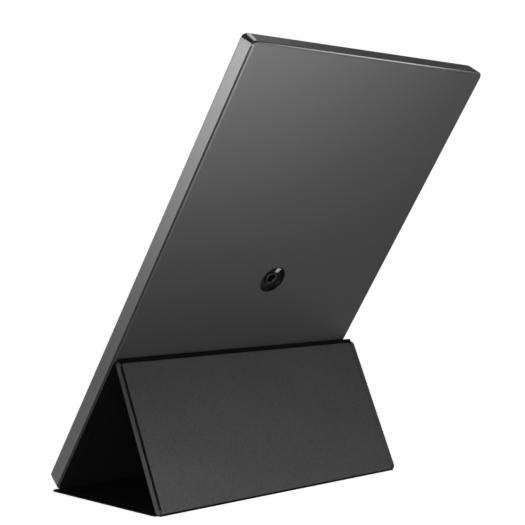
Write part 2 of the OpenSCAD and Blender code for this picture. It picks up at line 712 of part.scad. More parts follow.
module key_cap(y) color(dark) on_body() translate([0, y, port_z]) {
    translate([-half_w - key_proud, 0, 0])
        slot_bar(key_w, key_h, key_proud + frame_wall + key_gap + e);
    translate([-wall_in + key_gap, 0, 0])
        slot_bar(key_w + 2 * key_flange, key_h + 2 * key_flange, key_flange_t);
    translate([key_in_x - e, -1.5, -0.6]) cube([key_stem, 3, 1.2]);
}
module menu_key() key_cap(key_y[0]);
module up_key() key_cap(key_y[1]);
module down_key() key_cap(key_y[2]);
module power_key() key_cap(power_y);

// ---- cover panels ----

// One half of a panel, on the side z > 0: a thin margin and a raised face with a
// pocket for the core. far says how the end away from the fold is made.
module half_panel(len, far_edge, start, far_start, groove) {
    core_y = [inner_start + skin_t, len - core_end(far_start)];
    difference() {
        union() {
            plate(cover_w, fold_gap, len - far_edge, panel_r, 0, skin_t);
            plate(pad_w, start, len - far_start, pad_r, 0, panel_t / 2);
        }
        plate(pad_w - 2 * skin_t, core_y[0], core_y[1], pad_r - skin_t, -e, core_t / 2);
        if (groove) for (s = [-1, 1])
            block(min(s * pad_w, s * (pad_w + 2 * groove_w)) / 2,
                  max(s * pad_w, s * (pad_w + 2 * groove_w)) / 2,
                  fold_gap + panel_r, len - far_edge - panel_r, skin_t - groove_d, skin_t + e);
    }
}
function core_end(far_start) = max(far_start, far_start > free_margin ? inner_start : 0) + skin_t;

module core(len, far_start, rows) difference() {
    plate(pad_w - 2 * skin_t, inner_start + skin_t, len - core_end(far_start), pad_r - skin_t,
          -core_t / 2, core_t / 2);
    magnets(len, rows, magnet_r + magnet_gap, core_t + 2 * e);
}
// Rows of magnets: rows holds the distance of each row from the fold
module magnets(len, rows, r, h) for (y = rows) for (i = [0 : magnet_count - 1])
    translate([(i - (magnet_count - 1) / 2) * magnet_pitch, y, -h / 2]) cylinder(h = h, r = r);

// Strip of skin that bends at a fold: a bead on the fold's axis and a web to the panel
module fold_strip(back) {
    len = cover_w - 2 * panel_r;
    translate([-len / 2, 0, 0]) rotate([0, 90, 0]) cylinder(h = len, r = skin_t);
    block(-len / 2, len / 2, min(0, back * fold_gap), max(0, back * fold_gap),
          -0.7 * skin_t, 0.7 * skin_t);
}

attach_rows = [magnet_inset, attach_len - magnet_inset];
floor_rows = [floor_len - magnet_inset];

module attach_skin() color(leather) on_attach()
    half_panel(attach_len, 0, outer_start, free_margin, true);
module attach_lining() color(dark) on_attach() mirror([0, 0, 1])
    half_panel(attach_len, 0, inner_start, free_margin, false);
module attach_core() color("tan") on_attach() core(attach_len, free_margin, attach_rows);
module attach_magnets() color(steel) on_attach() magnets(attach_len, attach_rows, magnet_r, core_t);
module top_fold() color(leather) on_attach() fold_strip(1);

module rear_skin() color(leather) on_rear()
    half_panel(rear_len, fold_gap, outer_start, outer_start, true);
module rear_lining() color(dark) on_rear() mirror([0, 0, 1])
    half_panel(rear_len, fold_gap, inner_start, inner_start, false);
module rear_core() color("tan") on_rear() core(rear_len, inner_start, []);
module foot_fold() color(leather) on_rear() translate([0, rear_len, 0]) fold_strip(-1);

module floor_skin() color(leather) on_floor()
    half_panel(floor_len, 0, outer_start, free_margin, true);
module floor_lining() color(dark) on_floor() mirror([0, 0, 1])
    half_panel(floor_len, 0, inner_start, free_margin, false);
module floor_core() color("tan") on_floor() core(floor_len, free_margin, floor_rows);
module floor_magnets() color(steel) on_floor() magnets(floor_len, floor_rows, magnet_r, core_t);

mid_frame();
rear_cover();
front_bezel();
bezel_tape();
lcd_glass();
optical_films();
light_guide();
led_strip();
panel_tray();
source_board();
panel_flexes();
chassis_plate();
main_board();
scaler_shield();
board_parts();
thermal_pad();
display_cable();
usb_c_shells();
usb_c_tongues();
hdmi_shell();
hdmi_tongue();
key_board();
key_switches();
key_cable();
power_light();
tripod_insert();
socket_cup();
insert_fasteners();
chassis_screws();
board_screws();
strike_strips();
menu_key();
up_key();
down_key();
power_key();
attach_skin();
attach_lining();
attach_core();
attach_magnets();
top_fold();
rear_skin();
rear_lining();
rear_core();
foot_fold();
floor_skin();
floor_lining();
floor_core();
floor_magnets();
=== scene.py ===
import json
import math

import bmesh
import bpy
from mathutils import Matrix, Vector


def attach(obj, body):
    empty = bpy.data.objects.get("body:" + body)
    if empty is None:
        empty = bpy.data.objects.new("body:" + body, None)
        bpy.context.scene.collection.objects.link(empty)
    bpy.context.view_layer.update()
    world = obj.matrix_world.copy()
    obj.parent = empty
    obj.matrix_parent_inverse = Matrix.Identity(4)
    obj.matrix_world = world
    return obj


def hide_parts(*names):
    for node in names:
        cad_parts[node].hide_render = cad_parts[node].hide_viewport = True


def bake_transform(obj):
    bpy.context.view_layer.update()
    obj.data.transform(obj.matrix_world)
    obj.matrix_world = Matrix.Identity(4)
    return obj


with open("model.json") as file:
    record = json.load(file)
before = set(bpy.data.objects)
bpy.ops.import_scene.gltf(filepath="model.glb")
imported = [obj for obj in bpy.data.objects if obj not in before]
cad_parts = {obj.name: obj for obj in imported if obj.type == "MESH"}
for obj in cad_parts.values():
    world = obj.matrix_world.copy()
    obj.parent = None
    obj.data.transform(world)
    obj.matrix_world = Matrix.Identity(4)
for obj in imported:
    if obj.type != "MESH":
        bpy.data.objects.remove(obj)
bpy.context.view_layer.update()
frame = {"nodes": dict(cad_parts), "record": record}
cad_nodes = frame["nodes"]
slot_of = {p["node"]: p["material_slot"] for p in frame["record"]["subparts"]}

# ---- sizes in millimetres, as in the CAD part ----

MM = 0.001

# Monitor. In its frame y runs up the slope and z from the back's face towards the screen
LEAN = 34.5
BODY_L, BODY_W, BODY_T, CORNER = 359.6, 226.4, 13.2, 3.5
CHAMFER, BACK_LIP, FRONT_CHAMFER = 1.5, 0.4, 0.5
SEAM = CHAMFER + BACK_LIP
WALL, RIM, BACK_T = 1.4, 1.6, 1.0
WALL_IN = BODY_W / 2 - WALL
SOCKET_Y, SOCKET_R, CUP_DEPTH = BODY_L / 2, 10.8, 2.6
SCREEN_X0, SCREEN_X1, SCREEN_Y0 = -88.4, 105.2, 7.7
BEZEL_Z0, BEZEL_Z1 = 11.8, 13.0

# Openings in the -X side: their places along it, and their width and height
PORT_Z = 5.83
USB_C_PLACES, USB_C_SIZE = (76, 94), (9.24, 3.56)
HDMI_PLACE, HDMI_Z, HDMI_SIZE = 112, 5.8, (11.5, 3.5)
KEY_PLACES = {"menu_key": 240, "up_key": 254, "down_key": 268, "power_key": 290}
KEY_SIZE, KEY_GAP, KEY_PROUD = (9.0, 2.2), 0.12, 0.5
LIGHT_PLACE, LIGHT_SIZE = 302, (1.601, 1.6)  # a hair wider than high, to keep its ends apart

# Cover. In a panel's frame y runs away from the panel's fold and z outwards
REAR_TILT = 24.9
COVER_W, BODY_SHIFT = 234.6, 2.9
PANEL_T, SKIN, MARGIN, GROOVE, PANEL_R, PAD_R = 2.6, 0.6, 2.7, 1.8, 3.0, 2.5
# Where a panel starts off its fold, its raised faces start, and the margin at its free end
FOLD_GAP, OUTER_START, INNER_START, FREE = 1.4, 2.6, 3.2, 2.2
COVER_GAP, REST_GAP = 0.3, 0.1
FOLD_HEIGHT, ATTACH_END, FLOOR_LEN = 118.0, 3.0, 118.0

lean_sin, lean_cos = math.sin(math.radians(LEAN)), math.cos(math.radians(LEAN))
LIFT = PANEL_T + REST_GAP - CHAMFER * lean_sin
Y_MID = ((BODY_L - CHAMFER + FRONT_CHAMFER) * lean_sin - BODY_T * lean_cos) / 2
FOLD_OFF = COVER_GAP + PANEL_T / 2
FOLD_Y = FOLD_HEIGHT * lean_sin + FOLD_OFF * lean_cos - Y_MID
FOLD_Z = LIFT + FOLD_HEIGHT * lean_cos - FOLD_OFF * lean_sin
FOOT_Y = FOLD_Y + (FOLD_Z - PANEL_T / 2) * math.tan(math.radians(REAR_TILT))
REAR_LEN = (FOLD_Z - PANEL_T / 2) / math.cos(math.radians(REAR_TILT))
ATTACH_LEN = FOLD_HEIGHT - ATTACH_END


def placed(x, y, z, turn):
    """Frame at (x, y, z) mm in the row frame, turned about X; its units are millimetres."""
    return (Matrix.Translation((x * MM, y * MM, z * MM)) @ Matrix.Scale(MM, 4)
            @ Matrix.Rotation(math.radians(turn), 4, "X"))


BODY = placed(BODY_SHIFT, -Y_MID, LIFT, 90 - LEAN)
ATTACH = (BODY @ Matrix.Translation((-BODY_SHIFT, FOLD_HEIGHT, -FOLD_OFF))
          @ Matrix.Diagonal((1, -1, 1, 1)))
REAR = placed(0, FOLD_Y, FOLD_Z, REAR_TILT - 90)
FLOOR = placed(0, FOOT_Y, PANEL_T / 2, 180)

# ---- camera, fitted to the photograph's edges ----

FOCAL_PX, FRAME_PX, SENSOR = 1285.5, 525, 36.0
CENTRE_PX = (40, -52)
CAMERA_AT = (0.63965, 0.66774, 0.18588)
YAW, PITCH = math.radians(224.79), math.radians(0.85)
camera_data = bpy.data.cameras.new("camera")
camera_data.sensor_width = SENSOR
camera_data.lens = SENSOR * FOCAL_PX / FRAME_PX
camera_data.shift_x = -CENTRE_PX[0] / FRAME_PX
camera_data.shift_y = CENTRE_PX[1] / FRAME_PX
camera = bpy.data.objects.new("camera", camera_data)
bpy.context.scene.collection.objects.link(camera)
camera.location = CAMERA_AT
look = Vector((math.cos(YAW) * math.cos(PITCH), math.sin(YAW) * math.cos(PITCH),
               math.sin(PITCH)))
camera.rotation_mode = "QUATERNION"
camera.rotation_quaternion = look.to_track_quat("-Z", "Y")
bpy.context.scene.camera = camera
bpy.context.scene.view_settings.view_transform = "Standard"

# ---- materials; their bump distances are in metres ----


def tree(name):
    """New material, with its nodes, its links and its shader."""
    material = bpy.data.materials.new(name)
    material.use_nodes = True
    nodes, links = material.node_tree.nodes, material.node_tree.links
    return material, nodes, links, nodes["Principled BSDF"]


def node(nodes, kind, **values):
    """New node; each value goes to the input of that name, or else to that property."""
    made = nodes.new(kind)
    for key, value in values.items():
        if key in made.inputs:
            made.inputs[key].default_value = value
        else:
            setattr(made, key, value)
    return made


def spread(nodes, links, source, low, high):
    """Output that maps the source's 0 to 1 onto low to high."""
    made = nodes.new("ShaderNodeMapRange")
    made.inputs["To Min"].default_value = low
    made.inputs["To Max"].default_value = high
    links.new(source, made.inputs["Value"])
    return made.outputs["Result"]


def combine(nodes, links, operation, first, second, **values):
    """Output of a math operation on two outputs."""
    made = node(nodes, "ShaderNodeMath", operation=operation, **values)
    links.new(first, made.inputs[0])
    links.new(second, made.inputs[1])
    return made.outputs["Value"]


def paint(nodes, links, shader, color, tone):
    """Base colour that follows the tone, an output around 1."""
    tint = node(nodes, "ShaderNodeVectorMath", operation="SCALE")
    tint.inputs[0].default_value = color
    links.new(tone, tint.inputs["Scale"])
    links.new(tint.outputs["Vector"], shader.inputs["Base Color"])


def raised(nodes, links, height, strength, distance, over=None):
    """Normal of a bump that follows the height, over another normal if one is given."""
    made = node(nodes, "ShaderNodeBump", Strength=strength, Distance=distance)
    links.new(height, made.inputs["Height"])
    if over:
        links.new(over, made.inputs["Normal"])
    return made.outputs["Normal"]


def grey(value):
    return (value, value, value, 1.0)


def surface(name, color, rough, metallic=0.0, grain=400.0, bump=0.15, depth=0.00002,
            rough_spread=0.06, tone_spread=0.06, coat=0.0, stretch=(1, 1, 1), specular=0.5):
    """Painted, anodised, moulded or machined surface: fine grain, uneven gloss and tone."""
    material, nodes, links, shader = tree(name)
    place = nodes.new("ShaderNodeTexCoord")
    mapping = node(nodes, "ShaderNodeMapping", Scale=stretch)
    links.new(place.outputs["Object"], mapping.inputs["Vector"])
    fine = node(nodes, "ShaderNodeTexNoise", Scale=grain, Detail=4.0, Roughness=0.6)
    broad = node(nodes, "ShaderNodeTexNoise", Scale=9.0, Detail=3.0, Roughness=0.55)
    for texture in (fine, broad):
        links.new(mapping.outputs["Vector"], texture.inputs["Vector"])
    tone = spread(nodes, links, broad.outputs["Fac"], 1 - tone_spread, 1 + tone_spread)
    paint(nodes, links, shader, color, tone)
    gloss = spread(nodes, links, fine.outputs["Fac"], rough - rough_spread, rough + rough_spread)
    links.new(gloss, shader.inputs["Roughness"])
    normal = raised(nodes, links, fine.outputs["Fac"], bump, depth)
    links.new(normal, shader.inputs["Normal"])
    shader.inputs["Metallic"].default_value = metallic
    shader.inputs["Coat Weight"].default_value = coat
    shader.inputs["Coat Roughness"].default_value = 0.12
    shader.inputs["Specular IOR Level"].default_value = specular
    return material


def leatherette(name, color, rough, specular):
    """Fine pebbled leatherette: cells with creases between them over a soft unevenness."""
    material, nodes, links, shader = tree(name)
    place = nodes.new("ShaderNodeTexCoord")
    warp = node(nodes, "ShaderNodeTexNoise", Scale=600.0, Detail=3.0)
    broad = node(nodes, "ShaderNodeTexNoise", Scale=16.0, Detail=4.0, Roughness=0.6)
    for texture in (warp, broad):
        links.new(place.outputs["Object"], texture.inputs["Vector"])
    warped = node(nodes, "ShaderNodeMix", data_type="VECTOR")
    warped.inputs["Factor"].default_value = 0.0012
    links.new(place.outputs["Object"], warped.inputs["A"])
    links.new(warp.outputs["Color"], warped.inputs["B"])
    cells = node(nodes, "ShaderNodeTexVoronoi", Scale=1100.0, feature="F1")
    creases = node(nodes, "ShaderNodeTexVoronoi", Scale=900.0, feature="DISTANCE_TO_EDGE")
    for texture in (cells, creases):
        links.new(warped.outputs["Result"], texture.inputs["Vector"])
    # 0 in the creases, 1 on the pebbles between them
    pebbles = nodes.new("ShaderNodeValToRGB")
    pebbles.color_ramp.elements[1].position = 0.16
    links.new(creases.outputs["Distance"], pebbles.inputs["Fac"])
    # The creases are painted darker than the pebbles, as painted shade in them; the broad tone
    # differs at random.
    tone = combine(nodes, links, "MULTIPLY",
                   spread(nodes, links, broad.outputs["Fac"], 0.86, 1.14),
                   spread(nodes, links, pebbles.outputs["Color"], 0.72, 1.05))
    paint(nodes, links, shader, color, tone)
    gloss = spread(nodes, links, pebbles.outputs["Color"], rough + 0.14, rough - 0.04)
    links.new(gloss, shader.inputs["Roughness"])
    height = node(nodes, "ShaderNodeMath", operation="MULTIPLY_ADD")
    height.inputs[1].default_value = -0.6
    links.new(cells.outputs["Distance"], height.inputs[0])
    links.new(pebbles.outputs["Color"], height.inputs[2])
    pebbled = raised(nodes, links, height.outputs["Value"], 0.35, 0.00008)
    uneven = raised(nodes, links, broad.outputs["Fac"], 0.12, 0.0006, over=pebbled)
    links.new(uneven, shader.inputs["Normal"])
    shader.inputs["Specular IOR Level"].default_value = specular
    return material


def woven(name, color):
    """Short-napped microfibre: crossing fine threads, dull, with an uneven nap."""
    material, nodes, links, shader = tree(name)
    place = nodes.new("ShaderNodeTexCoord")
    warp, weft = [node(nodes, "ShaderNodeTexWave", Scale=1500.0, Distortion=2.0,
                       bands_direction=way) for way in "XY"]
    nap = node(nodes, "ShaderNodeTexNoise", Scale=70.0, Detail=6.0, Roughness=0.7)
    for texture in (warp, weft, nap):
        links.new(place.outputs["Object"], texture.inputs["Vector"])
    paint(nodes, links, shader, color, spread(nodes, links, nap.outputs["Fac"], 0.7, 1.3))
    threads = combine(nodes, links, "MULTIPLY", warp.outputs["Fac"], weft.outputs["Fac"])
    links.new(raised(nodes, links, threads, 0.3, 0.00008), shader.inputs["Normal"])
    shader.inputs["Roughness"].default_value = 0.92
    shader.inputs["Specular IOR Level"].default_value = 0.06
    return material


# A look for each material slot, and polished_* and the near-black leatherette of painted shade
# for single pieces
LOOKS = {
    "side_frame": surface("side_frame", (0.107, 0.107, 0.1086), 0.42, metallic=0.15, grain=2600,
                          bump=0.12, depth=0.00003, tone_spread=0.02, specular=0.3),
    "back_cover": surface("back_cover", (0.0432, 0.0432, 0.044), 0.42, grain=3200, bump=0.10,
                          tone_spread=0.02, specular=0.10),
    "polished_edge": surface("polished_edge", (0.006, 0.006, 0.0062), 0.13, grain=3200,
                             bump=0.03, depth=0.00001, rough_spread=0.03, tone_spread=0.02,
                             specular=0.25),
    "polished_corner": surface("polished_corner", (0.26, 0.26, 0.264), 0.14, metallic=1.0,
                               grain=3200, bump=0.03, depth=0.00001, rough_spread=0.03,
                               tone_spread=0.02),
    "polished_steel": surface("polished_steel", (0.42, 0.42, 0.43), 0.22, metallic=1.0,
                              grain=2000, bump=0.05, depth=0.00001),
    "bezel": surface("bezel", (0.012, 0.012, 0.013), 0.5, grain=1500),
    "black_tape": surface("black_tape", (0.01, 0.01, 0.01), 0.8, grain=900),
    "screen_glass": surface("screen_glass", (0.006, 0.006, 0.007), 0.42, grain=4000, bump=0.08,
                            depth=0.00001, rough_spread=0.03, specular=0.3),
    "films": surface("films", (0.8, 0.8, 0.8), 0.6, grain=800),
    "light_guide": surface("light_guide", (0.8, 0.84, 0.86), 0.15, grain=700),
    "led_board": surface("led_board", (0.7, 0.55, 0.2), 0.35, grain=600),
    "tray_metal": surface("tray_metal", (0.6, 0.6, 0.61), 0.4, metallic=1.0, stretch=(1, 6, 1)),
    "circuit_board": surface("circuit_board", (0.02, 0.12, 0.06), 0.35, grain=500, coat=0.3),
    "flex_film": surface("flex_film", (0.6, 0.28, 0.04), 0.3, grain=500),
    "chassis_metal": surface("chassis_metal", (0.45, 0.46, 0.48), 0.45, metallic=1.0,
                             stretch=(1, 5, 1)),
    "tin_plate": surface("tin_plate", (0.62, 0.62, 0.64), 0.28, metallic=1.0, grain=900),
    "chip_black": surface("chip_black", (0.012, 0.012, 0.012), 0.4, grain=900),
    "pad_rubber": surface("pad_rubber", (0.25, 0.32, 0.42), 0.85, grain=500, depth=0.0001),
    "cable_film": surface("cable_film", (0.7, 0.67, 0.6), 0.5, grain=500),
    "light_pipe": surface("light_pipe", (0.8, 0.8, 0.8), 0.25, grain=900),
    "insert_steel": surface("insert_steel", (0.012, 0.012, 0.0124), 0.25, metallic=0.8,
                            grain=1200, stretch=(1, 1, 8), specular=0.1),
    "socket_black": surface("socket_black", (0.003, 0.003, 0.003), 0.2, grain=1200, bump=0.06,
                            specular=0.04, rough_spread=0.03),
    "screw_steel": surface("screw_steel", (0.5, 0.5, 0.52), 0.3, metallic=1.0, grain=1200),
    "strike_steel": surface("strike_steel", (0.5, 0.5, 0.51), 0.4, metallic=1.0,
                            stretch=(8, 1, 1)),
    "keys": surface("keys", (0.14, 0.14, 0.142), 0.4, metallic=0.3, grain=2600,
                    tone_spread=0.02),
    "cover_skin": leatherette("cover_skin", (0.0567, 0.0567, 0.0578), 0.55, specular=0.06),
    # Near-black copy of cover_skin: painted shade for the fold strips and for the strips in the
    # grooves
    "cover_painted_shade": leatherette("cover_painted_shade", (0.0025, 0.0025, 0.0026), 0.7, specular=0.03),
    "cover_lining": woven("cover_lining", (0.0016, 0.0016, 0.00165)),
    "cover_board": surface("cover_board", (0.4, 0.3, 0.18), 0.9, grain=300, depth=0.0002),
    "magnet": surface("magnet", (0.6, 0.6, 0.62), 0.22, metallic=1.0, grain=800),
}
for name, obj in cad_nodes.items():
    obj.data.materials.clear()
    obj.data.materials.append(LOOKS[slot_of[name]])

# ---- shapes ----

WELD = 2e-7  # metres; corners nearer than this become one
ROUND_STEPS = 4  # steps along each rounded corner of a profile


def softened(path, closed=False):
    """Polyline through (a, b, radius) corners, each rounded by its radius."""
    out = []
    count = len(path)
    for i, (a, b, radius) in enumerate(path):
        here = Vector((a, b))
        if radius <= 0 or (not closed and i in (0, count - 1)):
            out.append((a, b))
            continue
        to_last = (Vector(path[i - 1][:2]) - here).normalized()
        to_next = (Vector(path[(i + 1) % count][:2]) - here).normalized()
        half = to_last.angle(to_next) / 2
        start = here + to_last * (radius / math.tan(half))
        centre = here + (to_last + to_next).normalized() * (radius / math.sin(half))
        first = start - centre
        last = here + to_next * (radius / math.tan(half)) - centre
        sweep = first.angle_signed(last)
        for k in range(ROUND_STEPS + 1):
            angle = -sweep * k / ROUND_STEPS
            spoke = Vector((first.x * math.cos(angle) - first.y * math.sin(angle),
                            first.x * math.sin(angle) + first.y * math.cos(angle)))
            out.append(tuple(centre + spoke))
    return out


def ring(x0, x1, y0, y1, r, z, corner_steps=12, z_low=None, z_high=None):
    """Rounded rectangle, anticlockwise, at height z along its sides; z_low and z_high are its
    heights along the ends at y0 and y1."""
    r = max(r, 0.02)  # a sharp corner keeps its row of points
    low, high = z if z_low is None else z_low, z if z_high is None else z_high
    points = []
    for cx, cy, first, end in ((x1 - r, y0 + r, -90, low), (x1 - r, y1 - r, 0, high),
                               (x0 + r, y1 - r, 90, high), (x0 + r, y0 + r, 180, low)):
        for k in range(corner_steps + 1):
            a = math.radians(first + 90 * k / corner_steps)
            points.append((cx + r * math.cos(a), cy + r * math.sin(a),
                           z + (end - z) * math.sin(a) ** 2))
    return points


def loft(rings, closed=False, caps=(False, False)):
    """Skin over rings of equal count, closed from last to first or capped at its ends."""
    verts = [p for r in rings for p in r]
    n = len(rings[0])
    faces = []
    for i in range(len(rings) if closed else len(rings) - 1):
        a, b = i * n, ((i + 1) % len(rings)) * n
        faces += [(a + k, a + (k + 1) % n, b + (k + 1) % n, b + k) for k in range(n)]
    if caps[0]:
        faces.append(tuple(range(n))[::-1])
    if caps[1]:
        faces.append(tuple(range((len(rings) - 1) * n, len(rings) * n)))
    return verts, faces


def bar(section, places):
    """Capped bar along x with the same section of (y, z) points at each place."""
    return loft([[(x, y, z) for y, z in section] for x in places], caps=(True, True))


def stadium(w, h, steps):
    """Section with round ends about the origin: w wide in y, h high in z."""
    section = []
    for side, first in ((1, -90), (-1, 90)):
        for k in range(steps + 1):
            a = math.radians(first + 180 * k / steps)
            section.append((side * (w - h) / 2 + h / 2 * math.cos(a), h / 2 * math.sin(a)))
    return section


def apply_modifiers(obj):
    made = bpy.data.meshes.new_from_object(
        obj.evaluated_get(bpy.context.evaluated_depsgraph_get()))
    obj.modifiers.clear()
    obj.data = made


def solid_mesh(name, shape, matrix):
    """Object of a shape in the row frame, with its faces turned outwards."""
    verts, faces = shape
    mesh = bpy.data.meshes.new(name)
    mesh.from_pydata([matrix @ Vector(v) for v in verts], [], faces)
    shell = bmesh.new()
    shell.from_mesh(mesh)
    bmesh.ops.remove_doubles(shell, verts=shell.verts, dist=WELD)
    bmesh.ops.recalc_face_normals(shell, faces=shell.faces)
    shell.to_mesh(mesh)
    shell.free()
    obj = bpy.data.objects.new(name, mesh)
    bpy.context.scene.collection.objects.link(obj)
    return obj


def cutter(shape, x=0.0, y=0.0, z=0.0):
    """Shape to cut out of a piece of the monitor, moved within the monitor's frame."""
    return solid_mesh("cutter", shape, BODY @ Matrix.Translation((x, y, z)))


def piece(name, shape, matrix, slot, body, nodes=(), sharp=40, cutters=(), look=None):
    """One piece in the row frame, shaded smooth between edges over sharp degrees. It has its
    slot's look unless another is named. A piece without a body is not attached to any."""
    obj = solid_mesh(name, shape, matrix)
    for cut in cutters:
        hole = obj.modifiers.new("hole", "BOOLEAN")
        hole.object, hole.operation, hole.solver = cut, "DIFFERENCE", "EXACT"
    if cutters:
        apply_modifiers(obj)
    obj.data.materials.clear()
    obj.data.materials.append(LOOKS[look or slot])
    for polygon in obj.data.polygons:
        polygon.use_smooth = True
        polygon.material_index = 0
    obj.data.set_sharp_from_angle(angle=math.radians(sharp))
    weigh = obj.modifiers.new("weigh", "WEIGHTED_NORMAL")
    weigh.keep_sharp = True
    apply_modifiers(obj)
    if body:
        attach(obj, body)
    if nodes:
        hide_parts(*nodes)
    return obj


# ---- monitor: back cover, frame and bezel ----
# Profiles are (inset from the outline, depth from the back's face, rounding)

TURNS = 72
CORNER_STEPS = 16
POLISH_Z = 0.75  # the satin rounding ends and the polished chamfer starts at this depth
POLISH_IN = CHAMFER - POLISH_Z
EDGE_IN, EDGE_DEPTH = 1.15, 2.6  # soft edge of the frame at the screen
FRONT_CORNER = 6.0  # the band's corner radius at the screen, wider than at the back
BEZEL_GAP = 0.15
CORNER_PROUD, CORNER_THICK = 0.03, 0.2
FACET = 4  # steps of a corner's arc that its polished facet leaves free, by the long side


def turned(path, closed=True):
    """Solid of revolution about the socket's axis from (r, z) points."""
    angles = [2 * math.pi * k / TURNS for k in range(TURNS)]
    rings = [[(r * math.cos(a), SOCKET_Y + r * math.sin(a), z) for a in angles]
             for r, z in path]
    return loft(rings, closed=closed, caps=(not closed, not closed))


def body_ring(inset, z, wider=0.0):
    return ring(-BODY_W / 2 + inset, BODY_W / 2 - inset, inset, BODY_L - inset,
                CORNER - inset + wider, z, CORNER_STEPS)


def band_ring(inset, z):
    """Ring of the band: its outer corners widen from the back towards the screen."""
    way = (z - SEAM) / (BODY_T - SEAM) * (1 - min(inset / WALL, 1))
    return body_ring(inset, z, (FRONT_CORNER - CORNER) * way)


socket_cut = cutter(turned(softened([
    (SOCKET_R, BACK_T + 1, 0), (SOCKET_R, 0, 0.25), (SOCKET_R + 1, 0, 0),
    (SOCKET_R + 1, -1, 0)]), closed=False))
back_path = softened([
    (4, 0, 0), (CHAMFER, 0, 1.8), (POLISH_IN, POLISH_Z, 0),
    (POLISH_IN + 0.1, POLISH_Z + 0.2, 0), (0.4, SEAM, 0), (RIM, SEAM, 0), (RIM, BACK_T, 0)])
piece("back_plate", loft([body_ring(*point) for point in back_path], caps=(True, True)), BODY,
      "back_cover", "monitor", ["rear_cover"], cutters=[socket_cut])
polished_path = softened([
    (POLISH_IN, POLISH_Z, 0), (0, CHAMFER, 0.6), (0, SEAM, 0), (0.5, SEAM, 0),
    (POLISH_IN + 0.05, POLISH_Z + 0.25, 0)])
piece("back_edge", loft([body_ring(*point) for point in polished_path], closed=True), BODY,
      "back_cover", "monitor", look="polished_edge")

soft_edge = [(EDGE_IN * (1 - math.cos(math.radians(a))),
              BODY_T - EDGE_DEPTH * (1 - math.sin(math.radians(a))), 0)
             for a in range(0, 91, 10)]
band_path = softened([(0, SEAM, 0.08)] + soft_edge + [(WALL, BODY_T, 0), (WALL, SEAM, 0)], True)

hdmi_w, hdmi_h = HDMI_SIZE[0] / 2, HDMI_SIZE[1] / 2
hdmi_section = [(-hdmi_w, hdmi_h), (-hdmi_w, -hdmi_h / 3), (-hdmi_w + 1.4, -hdmi_h),
                (hdmi_w - 1.4, -hdmi_h), (hdmi_w, -hdmi_h / 3), (hdmi_w, hdmi_h)]
key_hole = stadium(KEY_SIZE[0] + 2 * KEY_GAP, KEY_SIZE[1] + 2 * KEY_GAP, 8)
openings = [(stadium(*USB_C_SIZE, 8), y, PORT_Z) for y in USB_C_PLACES]
openings.append((hdmi_section, HDMI_PLACE, HDMI_Z))
openings += [(key_hole, y, PORT_Z) for y in KEY_PLACES.values()]
openings.append((stadium(*LIGHT_SIZE, 8), LIGHT_PLACE, PORT_Z))
cutters = [cutter(bar(section, (0, WALL + 2)), -BODY_W / 2 - 1, y, z)
           for section, y, z in openings]
piece("side_band", loft([band_ring(inset, z) for inset, z in band_path], closed=True), BODY,
      "side_frame", "monitor", ["mid_frame"], cutters=cutters)

# Polished skin over each corner of the band, off centre towards the short sides
facet_path = [(0, SEAM + 0.1), (0, SEAM + 4), (0, BODY_T - EDGE_DEPTH)]
facet_path += [(inset, z) for inset, z, _ in soft_edge[1:]]
for k in range(4):
    first = k * (CORNER_STEPS + 1) + (FACET if k % 2 else 0)
    last = first + CORNER_STEPS - FACET + 1
    facet = [band_ring(inset - CORNER_PROUD, z)[first:last]
             + band_ring(inset + CORNER_THICK, z)[first:last][::-1] for inset, z in facet_path]
    piece("corner_%d" % k, loft(facet, caps=(True, True)), BODY, "side_frame", "monitor",
          look="polished_corner")
for obj in cutters + [socket_cut]:
    bpy.data.objects.remove(obj)

bezel_rings = []
for inset, z in softened([(0, BEZEL_Z0, 0), (0, BEZEL_Z1, 0.15), (0.6, BEZEL_Z1, 0)]):
    inset += BEZEL_GAP
    bezel_rings.append(ring(-WALL_IN + inset, WALL_IN - inset, WALL + inset,
                            BODY_L - WALL - inset, CORNER - WALL - inset, z))
for grow, z in softened([(0.6, BEZEL_Z1, 0), (0, BEZEL_Z1, 0.2), (0, BEZEL_Z0, 0)]):
    bezel_rings.append(ring(SCREEN_X0 - grow, SCREEN_X1 + grow, SCREEN_Y0 - grow,
                            BODY_L - SCREEN_Y0 + grow, 0.4 + grow, z))
piece("bezel_frame", loft(bezel_rings, closed=True), BODY, "bezel", "monitor", ["front_bezel"])

# ---- keys ----

key_path = softened([(WALL - 0.4, 0, 0), (-KEY_PROUD, 0, 0.3), (-KEY_PROUD, 0.6, 0)])
for key, place in KEY_PLACES.items():
    cap = [[(-BODY_W / 2 + depth, place + y, PORT_Z + z)
            for y, z in stadium(KEY_SIZE[0] - 2 * inset, KEY_SIZE[1] - 2 * inset, 12)]
           for depth, inset in key_path]
    piece(key + "_cap", loft(cap, caps=(True, True)), BODY, "keys", key, [key])

# ---- tripod socket: a rounded dish about the threaded insert, and a small steel tab ----

RIM_R, BOWL_R, INSERT_R = SOCKET_R - 0.1, SOCKET_R - 0.9, 5.35
FLAT_R, LIP_Z, CUP_END = INSERT_R + 1.5, 0.25, 3.4
dish = [(INSERT_R, CUP_DEPTH, 0)]
for i in range(9):
    a = math.radians(90 * i / 8)
    dish.append((FLAT_R + (BOWL_R - FLAT_R) * math.sin(a),
                 LIP_Z + (CUP_DEPTH - LIP_Z) * math.cos(a), 0))
cup_path = dish + [(BOWL_R, 0, 0.12), (RIM_R, 0, 0.12), (RIM_R, BACK_T, 0),
                   (RIM_R + 1, BACK_T, 0), (RIM_R + 1, BACK_T + 0.6, 0), (RIM_R, 2.8, 0),
                   (RIM_R - 0.6, CUP_END, 0), (INSERT_R, CUP_END, 0)]
piece("socket_dish", turned(softened(cup_path, True)), BODY, "socket_black", "monitor",
      ["socket_cup"])

